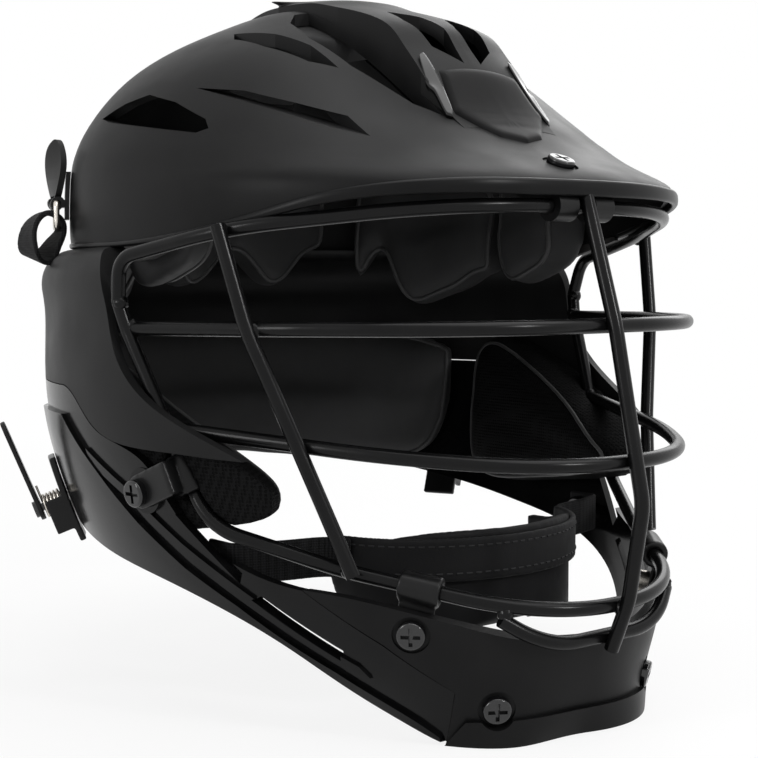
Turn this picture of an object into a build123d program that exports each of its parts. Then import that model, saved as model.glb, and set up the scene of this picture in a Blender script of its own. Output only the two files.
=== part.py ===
from build123d import *
import math
import os

# A youth lacrosse helmet: a moulded crown with a visor, a lower shell, two jaw guards, a chin guard,
# a welded wire cage held by plastic clips, foam pads, a chin cup and the strap hardware at the back.
# Lengths are millimetres. +Z is up, -Y is the front and +X is the wearer's left.
# The origin is the centre of the head, level with the ear canals.

# Driving sizes of the whole helmet
shell_half_width = 115.0
shell_reach = 125.0
shell_rise = 120.0

# Thicknesses and clearances
shell_wall = 3.2
ridge_wall = 3.4
seat_gap = 0.3
bore_clearance = 0.05
cut_overrun = 20.0

# Cage
wire_diameter = 5.0
clip_wall = 2.5
clip_length = 14.0
brow_clip_length = 9.0
brow_clip_spread = 8.5
clip_tab_width = 12.0
clip_tab_thickness = 2.6

# Screws and nuts
screw_head_diameter = 9.6
screw_head_height = 2.8
screw_shank_diameter = 5.0
screw_recess_width = 1.3
screw_recess_depth = 1.4
screw_seat_diameter = 12.6
screw_seat_depth = 0.8
nut_diameter = 9.0
nut_thickness = 3.0
boss_diameter = 16.0
boss_height = 1.2
visor_screw_length = 10.0
side_screw_length = 6.6
chin_screw_length = 8.4

# Pads
pad_depth = 17.0
jaw_pad_depth = 22.0
thin_pad_depth = 13.0
top_pad_diameter = 84.0
pad_wire_room = 0.4
pad_crown_room = 1.4
liner_thickness = 1.6

# Chin cup and its straps
cup_half_width = 52.0
cup_reach = 42.0
cup_wall = 4.0
cup_band_wall = 2.2
cup_band_height = 15.0
strap_width = 14.0
strap_thickness = 1.8
snap_diameter = 11.0
snap_thickness = 3.4
snap_post_diameter = 5.0
snap_depth = 7.2

# Strap buckle low on each side at the back
buckle_width = 14.4
buckle_height = 34.0
buckle_base_thickness = 2.6
buckle_cheek_thickness = 2.2
buckle_cheek_height = 11.4
pin_diameter = 3.0
pin_head_diameter = 6.4
pin_head_height = 1.2
spring_wire = 0.9
spring_diameter = 8.4
spring_pitch = 1.4
spring_turns = 5
spring_turn_points = 16
spring_leg = 8.0
lever_hub_diameter = 9.4
lever_thickness = 1.8
lever_width = 10.0
lever_length = 36.0
lever_lean = 1.5

# Adjuster ring, webbing and pull tab high on each side at the back
ring_bar = 2.2
ring_width = 20.0
ring_height = 9.0
ring_stand_off = 5.2
sleeve_wall = 1.4
sleeve_width = 8.0
anchor_thickness = 1.6
anchor_height = 18.0
tab_width = 15.0
tab_height = 24.0
tab_thickness = 2.4
webbing_width = 17.0
webbing_thickness = 1.9

# Ring tables of the moulded surfaces. Each row has the height as a share of the rise, the half width
# as a share of the half width, the front and rear reaches as shares of the reach, and two powers.
crown_ring_shares = [
    (0.017, 0.909, 1.08, 0.736, 2.4, 2.1),
    (0.125, 0.909, 1.088, 0.736, 2.4, 2.1),
    (0.233, 0.909, 1.096, 0.736, 2.45, 2.1),
    (0.35, 0.909, 1.116, 0.736, 2.5, 2.1),
    (0.383, 0.907, 1.092, 0.736, 2.5, 2.1),
    (0.417, 0.904, 1.032, 0.736, 2.4, 2.1),
    (0.467, 0.896, 0.92, 0.732, 2.3, 2.1),
    (0.525, 0.874, 0.832, 0.72, 2.2, 2.1),
    (0.625, 0.809, 0.696, 0.68, 2.1, 2.1),
    (0.725, 0.713, 0.56, 0.608, 2.1, 2.1),
    (0.817, 0.574, 0.424, 0.496, 2.1, 2.1),
    (0.9, 0.391, 0.28, 0.352, 2.0, 2.0),
    (0.958, 0.209, 0.144, 0.192, 2.0, 2.0),
]
crown_centre_share = 0.12
ridge_core_share = 0.86
crown_top_share = 0.988

ridge_ring_shares = [
    (0.475, 0.904, 0.928, 0.72, 2.2, 2.1),
    (0.525, 0.887, 0.872, 0.704, 2.2, 2.1),
    (0.625, 0.826, 0.776, 0.672, 2.1, 2.1),
    (0.725, 0.739, 0.704, 0.608, 2.1, 2.1),
    (0.792, 0.661, 0.648, 0.552, 2.1, 2.1),
    (0.858, 0.539, 0.592, 0.488, 2.1, 2.1),
    (0.917, 0.417, 0.464, 0.408, 2.0, 2.0),
    (0.958, 0.304, 0.328, 0.304, 2.0, 2.0),
    (0.992, 0.165, 0.184, 0.176, 2.0, 2.0),
]
ridge_centre_share = 0.16
ridge_top_share = 1.013

lower_ring_shares = [
    (-1.183, 0.504, 0.984, 0.16, 3.6, 2.0),
    (-1.058, 0.643, 1.012, 0.48, 2.5, 2.0),
    (-0.917, 0.783, 1.036, 0.68, 2.2, 2.1),
    (-0.75, 0.87, 1.048, 0.824, 2.1, 2.1),
    (-0.5, 0.957, 1.04, 0.96, 2.0, 2.1),
    (-0.167, 1.0, 1.024, 1.048, 2.1, 2.1),
    (0.042, 1.0, 1.008, 1.056, 2.1, 2.1),
    (0.142, 0.993, 1.0, 1.044, 2.1, 2.1),
    (0.175, 0.972, 0.985, 1.0, 2.1, 2.1),
    (0.195, 0.94, 0.95, 0.924, 2.1, 2.1),
    (0.208, 0.903, 0.896, 0.83, 2.1, 2.1),
    (0.242, 0.878, 0.864, 0.8, 2.1, 2.1),
    (0.35, 0.874, 0.864, 0.8, 2.1, 2.1),
]
lower_centre_share = 0.0
ledge_top_share = 0.21
ring_points = 24

# Side outlines, as shares of the reach and of the rise, front to back unless a comment says otherwise
crown_rim_shares = [(-1.2, 0.35), (-0.816, 0.35), (-0.648, 0.317), (-0.464, 0.267), (-0.272, 0.233),
                    (-0.064, 0.212), (0.16, 0.208)]
crown_back_shares = [(1.28, 0.208), (1.28, 1.167), (-1.2, 1.167)]
opening_edge_shares = [(0.08, 0.206), (-0.008, 0.142), (-0.048, 0.017), (-0.08, -0.092), (-0.144, -0.175),
                       (-0.264, -0.258), (-0.392, -0.321), (-0.512, -0.383)]
strip_edge_shares = [(-0.512, -0.383), (-0.4, -0.378), (-0.304, -0.373), (-0.128, -0.367),
                     (0.048, -0.321), (0.168, -0.233), (0.272, -0.212)]
lower_back_shares = [(1.28, -0.212), (1.28, 0.206)]
guard_top_shares = [(0.272, -0.215), (0.168, -0.237), (0.048, -0.325), (-0.112, -0.375), (-0.184, -0.412),
                    (-0.232, -0.483), (-0.28, -0.567),
                    (-0.368, -0.642), (-0.48, -0.7), (-0.608, -0.733)]
guard_seam_shares = [(-0.608, -0.733), (-0.768, -0.875), (-0.88, -1.008), (-0.834, -1.155)]
guard_bottom_shares = [(-0.834, -1.155), (-0.68, -1.046), (-0.544, -0.917), (-0.336, -0.808),
                       (-0.12, -0.75), (0.072, -0.717), (0.288, -0.675),
                       (0.56, -0.617), (0.88, -0.533)]
guard_back_shares = [(1.28, -0.433), (1.28, -0.215)]
band_shares = [(1.2, -0.333), (0.48, -0.3), (0.24, -0.3), (0.04, -0.458), (-0.112, -0.592),
               (-0.264, -0.708), (-0.416, -0.8), (-0.64, -0.967),
               (-0.832, -1.142), (-0.832, -1.25), (-0.48, -1.25), (0.0, -0.917), (0.48, -0.75), (1.2, -0.583)]
band_height = 1.8
rib_shares = [(0.096, -0.392), (-0.08, -0.483), (-0.272, -0.633), (-0.48, -0.775), (-0.704, -0.942),
              (-0.72, -0.975), (-0.48, -0.817),
              (-0.272, -0.675), (-0.096, -0.525), (0.08, -0.433)]
rib_height = 1.2
guard_slot_shares = [
    [(-0.264, -0.55), (-0.304, -0.542), (-0.448, -0.7), (-0.432, -0.733)],
    [(-0.464, -0.775), (-0.488, -0.762), (-0.672, -0.9), (-0.664, -0.929)],
]
chin_top_shares = [(-0.608, -0.731), (-0.72, -0.746), (-0.832, -0.778), (-0.936, -0.825),
                   (-1.024, -0.879), (-1.12, -0.921)]
chin_front_shares = [(-1.28, -0.921), (-1.28, -1.163), (-0.832, -1.163)]
chin_seam_shares = [(-0.834, -1.163), (-0.882, -1.008), (-0.77, -0.873), (-0.608, -0.731)]
chin_lip_shares = [(-1.28, -1.075), (-0.896, -1.092), (-0.8, -1.217), (-1.28, -1.217)]
chin_lip_height = 1.6

# Openings through the crown, as shares of the half width and the reach, seen from above
ridge_plan_shares = [(0.191, -0.688), (0.226, -0.48), (0.217, -0.16), (0.2, 0.16), (0.148, 0.416),
                     (0.07, 0.576)]
side_vent_plan_shares = [(0.217, -0.632), (0.278, -0.568), (0.348, -0.376), (0.365, -0.2), (0.33, -0.064),
                         (0.261, 0.0), (0.217, -0.016)]
middle_vent_plan_shares = [(0.391, -0.368), (0.452, -0.304), (0.504, -0.16), (0.522, -0.032),
                           (0.487, 0.016), (0.426, -0.112), (0.391, -0.24)]
ridge_vent_plan_shares = [(0.035, -0.528), (0.122, -0.48), (0.148, -0.384), (0.13, -0.288),
                          (0.052, -0.352), (0.026, -0.432)]
# Openings through the side of the crown, as shares of the reach and the rise
long_vent_shares = [(-0.64, 0.496), (-0.544, 0.558), (-0.416, 0.6), (-0.272, 0.642), (-0.128, 0.658),
                    (-0.272, 0.617), (-0.416, 0.571), (-0.544, 0.525)]
rear_vent_shares = [(0.248, 0.592), (0.144, 0.629), (0.04, 0.65), (-0.096, 0.617), (-0.24, 0.558),
                    (-0.272, 0.529), (-0.24, 0.517), (-0.056, 0.542), (0.176, 0.575)]
vent_depth_share = 0.5
vent_liner_plan_shares = [(0.209, -0.704), (0.304, -0.624), (0.383, -0.4), (0.383, -0.288), (0.209, -0.288)]
trim_shares = [(0.016, 0.205), (-0.192, 0.218), (-0.38, 0.245), (-0.39, 0.232), (-0.2, 0.188),
               (-0.12, 0.164), (-0.064, 0.158), (-0.036, 0.18)]
trim_thickness = 2.4

# Wires of the cage, for the wearer's left side. Each is a list of corners and the radii between them.
brow_wire_shares = [(0.974, -0.076, 0.042), (0.987, -0.104, 0.167), (0.865, -0.46, 0.246),
                    (0.452, -0.941, 0.308)]
brow_radius_shares = [0.08, 0.9, 0.65]
side_wire_shares = [(0.974, -0.076, 0.042), (0.958, -0.098, -0.042), (0.87, -0.294, -0.48)]
side_radius_shares = [0.17]
lower_wire_shares = [(0.87, -0.294, -0.48), (0.857, -0.36, -0.579), (0.622, -0.652, -0.683),
                     (0.278, -1.093, -0.783)]
lower_radius_shares = [0.22, 1.5, 0.5]
mouth_wire_shares = [(0.9, -0.224, -0.312), (0.591, -0.792, -0.362), (0.278, -1.122, -0.388)]
mouth_radius_shares = [1.4, 0.55]
eye_wire_shares = [(0.943, -0.104, -0.033), (0.811, -0.56, -0.025), (0.47, -1.046, -0.019)]
eye_radius_shares = [1.0, 0.6]
chin_wire_shares = [(0.348, -0.988, -0.797), (0.226, -1.052, -0.879)]
chin_radius_shares = [0.3]
side_bar_shares = [(0.897, -0.458, 0.254), (0.849, -0.525, -0.029), (0.737, -0.605, -0.347),
                   (0.629, -0.707, -0.692)]
side_bar_radius_shares = [0.6, 0.6]
centre_bar_shares = [(0.0, -0.971, 0.346), (0.0, -1.083, -0.025), (0.0, -1.182, -0.5),
                     (0.0, -1.136, -0.767), (0.0, -1.078, -0.912)]
centre_bar_radius_shares = [0.5, 0.2, 0.3]

# Clips on the wires, as shares of the way along a straight stretch between two corners
side_clip_share = 0.9
front_clip_share = 0.39

# Places of the screws on the moulded surfaces: the turn from the front in degrees and the height share
visor_screw_place = (0.0, 0.432)
side_screw_place = (78.9, -0.489)
front_screw_place = (30.4, -0.842)
chin_screw_place = (17.0, -1.058)

# Pads: turns from the front in degrees, each with the low and high height there as shares of the rise
brow_pad_edge_shares = [(-48.0, 0.50, 0.72), (48.0, 0.50, 0.72)]
side_pad_edge_shares = [(64.0, 0.16, 0.50), (85.0, 0.06, 0.50)]
rear_pad_edge_shares = [(90.0, 0.13, 0.50), (117.0, 0.0, 0.50), (134.0, 0.28, 0.50)]
back_pad_edge_shares = [(146.0, 0.30, 0.52), (160.0, 0.05, 0.52), (180.0, 0.20, 0.52),
                        (200.0, 0.05, 0.52), (214.0, 0.30, 0.52)]
neck_pad_edge_shares = [(119.0, -0.42, -0.08), (134.0, -0.60, -0.08), (180.0, -0.54, -0.08),
                        (226.0, -0.60, -0.08), (241.0, -0.42, -0.08)]
jaw_pad_edge_shares = [(53.0, -0.56, -0.44), (110.0, -0.66, -0.05)]
pad_sections = 9
pad_section_points = 14
pad_roundness = 0.55
pad_end_share = 0.5

# Chin cup, as shares of the reach and the rise
cup_centre_share = -0.40
cup_side_shares = [(-0.368, -0.667), (-0.48, -0.658), (-0.768, -0.642), (-0.768, -0.8), (-0.672, -0.917),
                   (-0.512, -0.9), (-0.4, -0.783)]
snap_place_shares = (0.779, -0.296, -0.692)
cup_end_shares = (0.443, -0.456, -0.692)

# Strap hardware sites: turn from the front in degrees and height share
buckle_place = (121.0, -0.583)
adjuster_place = (112.5, 0.34)

# Outlines of small parts, as shares of the size named with them
webbing_loop_shares = [(-0.51, 0.92), (-0.39, 1.73), (-0.78, 2.69), (-1.56, 3.08), (-2.22, 2.68),
                       (-2.28, 1.98), (-1.72, 1.24), (-1.2, 0.7), (-0.78, 0.58)]
tab_outline_shares = [(0.0, 1.0), (0.28, 0.86), (0.46, 0.6), (0.5, 0.36), (0.34, 0.08), (-0.34, 0.08),
                      (-0.5, 0.36),
                      (-0.46, 0.6), (-0.28, 0.86)]
strap_run_shares = [(-0.3, -0.06), (0.0, -0.015), (0.12, 0.05), (0.28, 0.36), (0.48, 0.78), (0.61, 0.95),
                    (0.72, 1.0), (0.86, 1.0), (1.0, 1.0), (1.16, 1.0), (1.32, 1.0)]


def at(shares):
    """A point from shares of the half width, the reach and the rise."""
    x_share, y_share, z_share = shares
    return Vector(x_share * shell_half_width, y_share * shell_reach, z_share * shell_rise)


def mirrored(shape):
    """The same shape on the other side of the helmet."""
    return shape.mirror(Plane.YZ)


def joined(shapes):
    """One shape from several that overlap."""
    whole = shapes[0]
    for shape in shapes[1:]:
        whole = whole + shape
    return whole


def ring_radius(turn, side, front, rear, front_power, rear_power):
    """The reach of a rounded ring at one turn from the front."""
    across = abs(math.sin(turn))
    along = abs(math.cos(turn))
    reach, power = (front, front_power) if math.cos(turn) > 0 else (rear, rear_power)
    return ((across / side) ** power + (along / reach) ** power) ** (-1 / power)


def ring_wire(row, centre_share, inset, drop):
    """One closed ring of a moulded surface."""
    z_share, side_share, front_share, rear_share, front_power, rear_power = row
    side = side_share * shell_half_width - inset
    front = front_share * shell_reach - inset
    rear = rear_share * shell_reach - inset
    points = []
    for step in range(ring_points):
        turn = 2 * math.pi * step / ring_points
        radius = ring_radius(turn, side, front, rear, front_power, rear_power)
        y = centre_share * shell_reach - radius * math.cos(turn)
        points.append(Vector(radius * math.sin(turn), y, z_share * shell_rise - drop))
    return Wire([Edge.make_spline(points, periodic=True)])


def crown_bell(inset=0.0):
    """The solid dome under the crown's outer surface, made smaller all round by the inset."""
    wires = [ring_wire(row, crown_centre_share, inset, inset) for row in crown_ring_shares]
    top = Vertex(0, crown_centre_share * shell_reach, crown_top_share * shell_rise - inset)
    return Solid.make_loft(wires + [top])


def ridge_bell(inset=0.0):
    """The solid dome under the raised ridge's outer surface."""
    wires = [ring_wire(row, ridge_centre_share, inset, inset) for row in ridge_ring_shares]
    top = Vertex(0, ridge_centre_share * shell_reach, ridge_top_share * shell_rise - inset)
    return Solid.make_loft(wires + [top])


def lower_bell(inset=0.0):
    """The solid under the outer surface of the lower shell and the guards."""
    wires = []
    for row in lower_ring_shares:
        drop = inset if row[0] > 0 else 0.0
        wires.append(ring_wire(row, lower_centre_share, inset, drop))
    return Solid.make_loft(wires)


def skin(bell, outer_inset, inner_inset, block):
    """The part of a block between two copies of a moulded surface."""
    return (bell(outer_inset) & block) - bell(inner_inset)


def surface_radius(rows, turn, height):
    """The reach of a moulded surface at one turn and height, between its rows."""
    for low, high in zip(rows, rows[1:]):
        low_z, high_z = low[0] * shell_rise, high[0] * shell_rise
        if low_z <= height <= high_z:
            part = (height - low_z) / (high_z - low_z)
            mix = [a + (b - a) * part for a, b in zip(low, high)]
            return ring_radius(turn, mix[1] * shell_half_width, mix[2] * shell_reach, mix[3] * shell_reach,
                               mix[4], mix[5])
    raise ValueError("height outside the surface")


def surface_point(rows, centre_share, turn, height):
    """A point on a moulded surface."""
    radius = surface_radius(rows, turn, height)
    return Vector(radius * math.sin(turn), centre_share * shell_reach - radius * math.cos(turn), height)


def surface_plane(rows, centre_share, place, level=False):
    """A plane on a moulded surface: x along it to the wearer's left, y up it and z out of it."""
    turn = math.radians(place[0])
    height = place[1] * shell_rise
    step = seat_gap
    middle = surface_point(rows, centre_share, turn, height)
    across = surface_point(rows, centre_share, turn + step / shell_reach, height) - middle
    upward = surface_point(rows, centre_share, turn, height + step) - middle
    if level:
        upward = Vector(0, 0, step)
    return Plane(origin=middle, x_dir=across.normalized(), z_dir=across.cross(upward).normalized())


def outline_face(runs, place):
    """A flat face from runs of shares, each a curve or a line, joined end to end."""
    edges = []
    for kind, shares in runs:
        points = [place(pair) for pair in shares]
        if edges and (points[0] - edges[-1] @ 1).length > bore_clearance:
            edges.append(Edge.make_line(edges[-1] @ 1, points[0]))
        if kind == "curve":
            edges.append(Edge.make_spline(points))
        else:
            edges += [Edge.make_line(a, b) for a, b in zip(points, points[1:])]
    if (edges[0] @ 0 - edges[-1] @ 1).length > bore_clearance:
        edges.append(Edge.make_line(edges[-1] @ 1, edges[0] @ 0))
    return Face(Wire(edges))


def side_block(*runs, start=None, end=None):
    """A block with the given side outline, right across the helmet or between two x places."""
    span = shell_half_width + cut_overrun
    low = -span if start is None else start
    high = span if end is None else end
    face = outline_face(runs, lambda pair: Vector(low, pair[0] * shell_reach, pair[1] * shell_rise))
    return Solid.extrude(face, Vector(high - low, 0, 0))


def plan_block(shares, kind="line", scale=1.0):
    """A tall block with the given outline, seen from above."""
    low = ridge_ring_shares[0][0] * shell_rise
    face = outline_face([(kind, shares)], lambda pair: Vector(
        pair[0] * shell_half_width * scale, pair[1] * shell_reach * scale, low))
    return Solid.extrude(face, Vector(0, 0, shell_rise))


def cylinder(plane, diameter, low, high):
    """A cylinder along a plane's z, between two heights over it."""
    base = Plane(origin=plane.from_local_coords(Vector(0, 0, low)), x_dir=plane.x_dir, z_dir=plane.z_dir)
    return Solid.make_cylinder(diameter / 2, high - low, base)


def box(plane, x_range, y_range, z_range):
    """A box in a plane's own directions."""
    size = (x_range[1] - x_range[0], y_range[1] - y_range[0], z_range[1] - z_range[0])
    corner = plane.from_local_coords(Vector(x_range[0], y_range[0], z_range[0]))
    return Solid.make_box(*size, Plane(origin=corner, x_dir=plane.x_dir, z_dir=plane.z_dir))


def whole_path(shares, radius_shares):
    """The corners and radii of a wire that crosses the middle, from its left half."""
    left = [at(share) for share in shares]
    right = [Vector(-point.X, point.Y, point.Z) for point in reversed(left)]
    radii = [share * shell_half_width for share in radius_shares]
    return left + right, radii + list(reversed(radii))


def wire_solid(points, radii, diameter=wire_diameter):
    """A round wire along straight runs with rounded corners."""
    path = FilletPolyline(*points, radius=radii)
    start = Plane(origin=path @ 0, z_dir=path % 0)
    return Solid.sweep(Wire.make_circle(diameter / 2, start), path)


def crossing_wire(shares, radius_shares):
    """A wire from one side of the face opening to the other."""
    return wire_solid(*whole_path(shares, radius_shares))


def left_wire(shares, radius_shares, diameter=wire_diameter):
    """A wire on the wearer's left, or in the middle."""
    radii = [share * shell_half_width for share in radius_shares]
    return wire_solid([at(share) for share in shares], radii, diameter)


def along(shares, first, share):
    """A plane on a wire, part of the way from one corner to the next, with z along the wire."""
    start, end = at(shares[first]), at(shares[first + 1])
    return Plane(origin=start + (end - start) * share, z_dir=(end - start).normalized())


# Planes of the screws and of the strap hardware, on the wearer's left or in the middle
visor_plane = surface_plane(crown_ring_shares, crown_centre_share, visor_screw_place)
side_plane = surface_plane(lower_ring_shares, lower_centre_share, side_screw_place)
front_plane = surface_plane(lower_ring_shares, lower_centre_share, front_screw_place)
chin_plane = surface_plane(lower_ring_shares, lower_centre_share, chin_screw_place)
buckle_plane = surface_plane(lower_ring_shares, lower_centre_share, buckle_place)
adjuster_plane = surface_plane(crown_ring_shares, crown_centre_share, adjuster_place, level=True)


def snap_plane():
    """The plane of a snap, with z straight out to the wearer's left."""
    return Plane(origin=at(snap_place_shares), x_dir=(0, 1, 0), z_dir=(1, 0, 0))


def seat_cuts(plane):
    """The flat seat, the shank hole and the flat for the nut that a screw needs in a wall."""
    hole = screw_shank_diameter + 2 * bore_clearance
    nut_floor = -(shell_wall - screw_seat_depth) - screw_seat_depth / 2
    seat = cylinder(plane, screw_seat_diameter, -screw_seat_depth, cut_overrun)
    shank = cylinder(plane, hole, -cut_overrun, cut_overrun)
    back = cylinder(plane, screw_seat_diameter + 2 * clip_wall, -cut_overrun, nut_floor)
    return [seat, shank, back], nut_floor


def make_crown():
    inner = crown_bell(shell_wall)
    rim = side_block(("curve", crown_rim_shares), ("line", crown_back_shares))
    crown = (crown_bell() - inner) & rim
    left_plan = ridge_plan_shares
    right_plan = [(-x, y) for x, y in reversed(ridge_plan_shares)]
    ridge = (ridge_bell() & plan_block(left_plan + right_plan)) - inner
    core = ridge_bell(ridge_wall) & plan_block(left_plan + right_plan, scale=ridge_core_share)
    crown = (crown + ridge) - core
    for plan in (side_vent_plan_shares, middle_vent_plan_shares, ridge_vent_plan_shares):
        vent = plan_block(plan)
        crown = crown - vent - mirrored(vent)
    depth = vent_depth_share * shell_half_width
    for outline in (long_vent_shares, rear_vent_shares):
        vent = side_block(("line", outline), start=depth)
        crown = crown - vent - mirrored(vent)
    cuts, _ = seat_cuts(visor_plane)
    for cut in cuts:
        crown = crown - cut
    return crown


def make_vent_liner():
    face = shell_wall + seat_gap
    return skin(crown_bell, face, face + liner_thickness, plan_block(vent_liner_plan_shares))


def make_trim():
    return skin(crown_bell, seat_gap, seat_gap + trim_thickness, side_block(("line", trim_shares), start=0.0))


def make_lower_shell():
    outline = side_block(("curve", opening_edge_shares), ("curve", strip_edge_shares),
                         ("line", lower_back_shares))
    return skin(lower_bell, 0.0, shell_wall, outline)


def raised_skin(height, *runs):
    """A raised band on the lower surface."""
    return skin(lower_bell, -height, shell_wall / 2, side_block(*runs))


def make_jaw_guard():
    outline = side_block(("curve", guard_top_shares), ("line", guard_seam_shares),
                         ("curve", guard_bottom_shares), ("line", guard_back_shares), start=0.0)
    guard = skin(lower_bell, 0.0, shell_wall, outline)
    for height, shares in ((band_height, band_shares), (rib_height, rib_shares)):
        guard = guard + (raised_skin(height, ("line", shares)) & outline)
    for slot in guard_slot_shares:
        guard = guard - side_block(("line", slot), start=0.0)
    guard = guard + (cylinder(side_plane, boss_diameter, -shell_wall / 2, boss_height))
    guard = guard - cylinder(side_plane, screw_shank_diameter + 2 * bore_clearance, -cut_overrun, cut_overrun)
    guard = guard - cylinder(side_plane, boss_diameter, -cut_overrun, -shell_wall + screw_seat_depth / 2)
    hole = snap_post_diameter + 2 * bore_clearance
    guard = guard - cylinder(snap_plane(), hole, -cut_overrun, snap_depth + bore_clearance)
    return guard


def make_chin_guard():
    outline = side_block(("curve", chin_top_shares), ("line", chin_front_shares), ("line", chin_seam_shares))
    guard = skin(lower_bell, 0.0, shell_wall, outline)
    guard = guard + (raised_skin(chin_lip_height, ("line", chin_lip_shares)) & outline)
    for plane in (front_plane, chin_plane):
        cuts, _ = seat_cuts(plane)
        for cut in cuts:
            guard = guard - cut - mirrored(cut)
    points, radii = whole_path(chin_wire_shares, chin_radius_shares)
    return guard - wire_solid(points, radii, wire_diameter + 2 * seat_gap)


def make_screw(plane, floor, length):
    """A pan head screw with a cross recess, its head seated on a floor over a plane."""
    head = cylinder(plane, screw_head_diameter, floor, floor + screw_head_height)
    head = head.fillet(screw_head_height / 3, [head.edges().sort_by_distance(
        plane.from_local_coords(Vector(0, 0, floor + cut_overrun)))[0]])
    shank = cylinder(plane, screw_shank_diameter, floor - length, floor + screw_head_height / 2)
    arm = screw_head_diameter / 3
    top = (floor + screw_head_height - screw_recess_depth, floor + cut_overrun)
    cross = box(plane, (-arm, arm), (-screw_recess_width / 2, screw_recess_width / 2), top) + box(
        plane, (-screw_recess_width / 2, screw_recess_width / 2), (-arm, arm), top)
    return head + shank - cross


def make_nut(plane, top):
    """A round nut under a plane, with a bore for the screw's shank."""
    ring = cylinder(plane, nut_diameter, top - nut_thickness, top)
    return ring - cylinder(plane, screw_shank_diameter + 2 * bore_clearance, -cut_overrun, cut_overrun)


def wire_collar(plane, length):
    """A sleeve and its bore round a wire."""
    outer = wire_diameter + 2 * (bore_clearance + clip_wall)
    bore = wire_diameter + 2 * bore_clearance
    return cylinder(plane, outer, -length / 2, length / 2), cylinder(plane, bore, -length, length)


def screw_tab(plane, collar_plane, low, high):
    """A tab from a screw's place to a sleeve, between two heights over the screw's plane."""
    target = plane.to_local_coords(collar_plane.origin)
    reach = math.hypot(target.X, target.Y)
    direction = plane.x_dir * target.X + plane.y_dir * target.Y
    tab_plane = Plane(origin=plane.origin, x_dir=direction.normalized(), z_dir=plane.z_dir)
    half = clip_tab_width / 2
    bar = box(tab_plane, (0, reach), (-half, half), (low, high))
    end = cylinder(plane, clip_tab_width, low, high)
    neck_low, neck_high = min(low, target.Z), max(high, target.Z)
    neck = box(tab_plane, (reach - clip_wall, reach + clip_wall), (-half, half), (neck_low, neck_high))
    return bar + end + neck


def make_side_clip():
    plane = along(side_wire_shares, 1, side_clip_share)
    sleeve, bore = wire_collar(plane, clip_length)
    tab = screw_tab(side_plane, plane, boss_height, boss_height + clip_tab_thickness)
    hole = cylinder(side_plane, screw_shank_diameter + 2 * bore_clearance, -cut_overrun, cut_overrun)
    return sleeve + tab - bore - hole


def make_front_clip():
    plane = along(lower_wire_shares, 2, front_clip_share)
    _, floor = seat_cuts(front_plane)
    sleeve, bore = wire_collar(plane, clip_length)
    tab = screw_tab(front_plane, plane, floor - clip_tab_thickness, floor) & lower_bell(shell_wall + seat_gap)
    hole = cylinder(front_plane, screw_shank_diameter + 2 * bore_clearance, -cut_overrun, cut_overrun)
    return sleeve + tab - bore - hole


def make_brow_clip():
    middle = at(brow_wire_shares[-1])
    _, floor = seat_cuts(visor_plane)
    target = visor_plane.to_local_coords(Vector(0, middle.Y, middle.Z))
    half = brow_clip_spread + brow_clip_length / 2
    post = cylinder(visor_plane, screw_seat_diameter, target.Z, floor)
    arm = box(visor_plane, (-half, half), (target.Y, screw_seat_diameter / 2),
              (target.Z - clip_wall, target.Z + clip_wall))
    clip = post + arm
    for side in (-brow_clip_spread, brow_clip_spread):
        plane = Plane(origin=Vector(side, middle.Y, middle.Z), z_dir=Vector(1, 0, 0))
        clip = clip + wire_collar(plane, brow_clip_length)[0]
    plane = Plane(origin=Vector(0, middle.Y, middle.Z), z_dir=Vector(1, 0, 0))
    clip = clip - wire_collar(plane, 2 * half)[1]
    room = box(Plane(origin=Vector(0, middle.Y, middle.Z), x_dir=(1, 0, 0), z_dir=(0, 0, 1)),
               (-wire_diameter / 2 - seat_gap, wire_diameter / 2 + seat_gap), (-cut_overrun, 0),
               (-cut_overrun, cut_overrun))
    hole = cylinder(visor_plane, screw_shank_diameter + 2 * bore_clearance, -cut_overrun, cut_overrun)
    return clip - room - hole


def pad_edges(edge_shares, turn):
    """The middle height and half the height of a pad at one turn, between its table's turns."""
    for before, after in zip(edge_shares, edge_shares[1:]):
        if turn <= after[0]:
            break
    part = (turn - before[0]) / (after[0] - before[0])
    low, high = [(a + (b - a) * part) * shell_rise for a, b in zip(before[1:], after[1:])]
    return (low + high) / 2, (high - low) / 2


def make_pad(rows, centre_share, edge_shares, depth, rest=shell_wall):
    """A pad with a crowned face and rounded ends that follows the inside of a moulded surface."""
    first, last = edge_shares[0][0], edge_shares[-1][0]
    wires = []
    for step in range(pad_sections):
        part = 2 * step / (pad_sections - 1) - 1
        size = pad_end_share + (1 - pad_end_share) * (1 - part ** 4) ** 0.5
        degrees = first + (last - first) * (part + 1) / 2
        middle, half = pad_edges(edge_shares, degrees)
        turn = math.radians(degrees)
        points = []
        for corner in range(pad_section_points):
            angle = 2 * math.pi * corner / pad_section_points
            inward = math.copysign(abs(math.cos(angle)) ** pad_roundness, math.cos(angle))
            upward = math.copysign(abs(math.sin(angle)) ** pad_roundness, math.sin(angle))
            height = middle + half * size * upward
            sink = rest + (depth * size * inward if inward > 0 else shell_wall * inward)
            radius = surface_radius(rows, turn, max(height, rows[0][0] * shell_rise)) - sink
            y = centre_share * shell_reach - radius * math.cos(turn)
            points.append(Vector(radius * math.sin(turn), y, height))
        wires.append(Wire([Edge.make_spline(points, periodic=True)]))
    return Solid.make_loft(wires)


def make_brow_pad():
    """The pad inside the forehead, against the vent liners."""
    face = shell_wall + liner_thickness + 2 * seat_gap
    pad = make_pad(crown_ring_shares, crown_centre_share, brow_pad_edge_shares, pad_depth, face)
    return pad & crown_bell(face)


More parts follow.
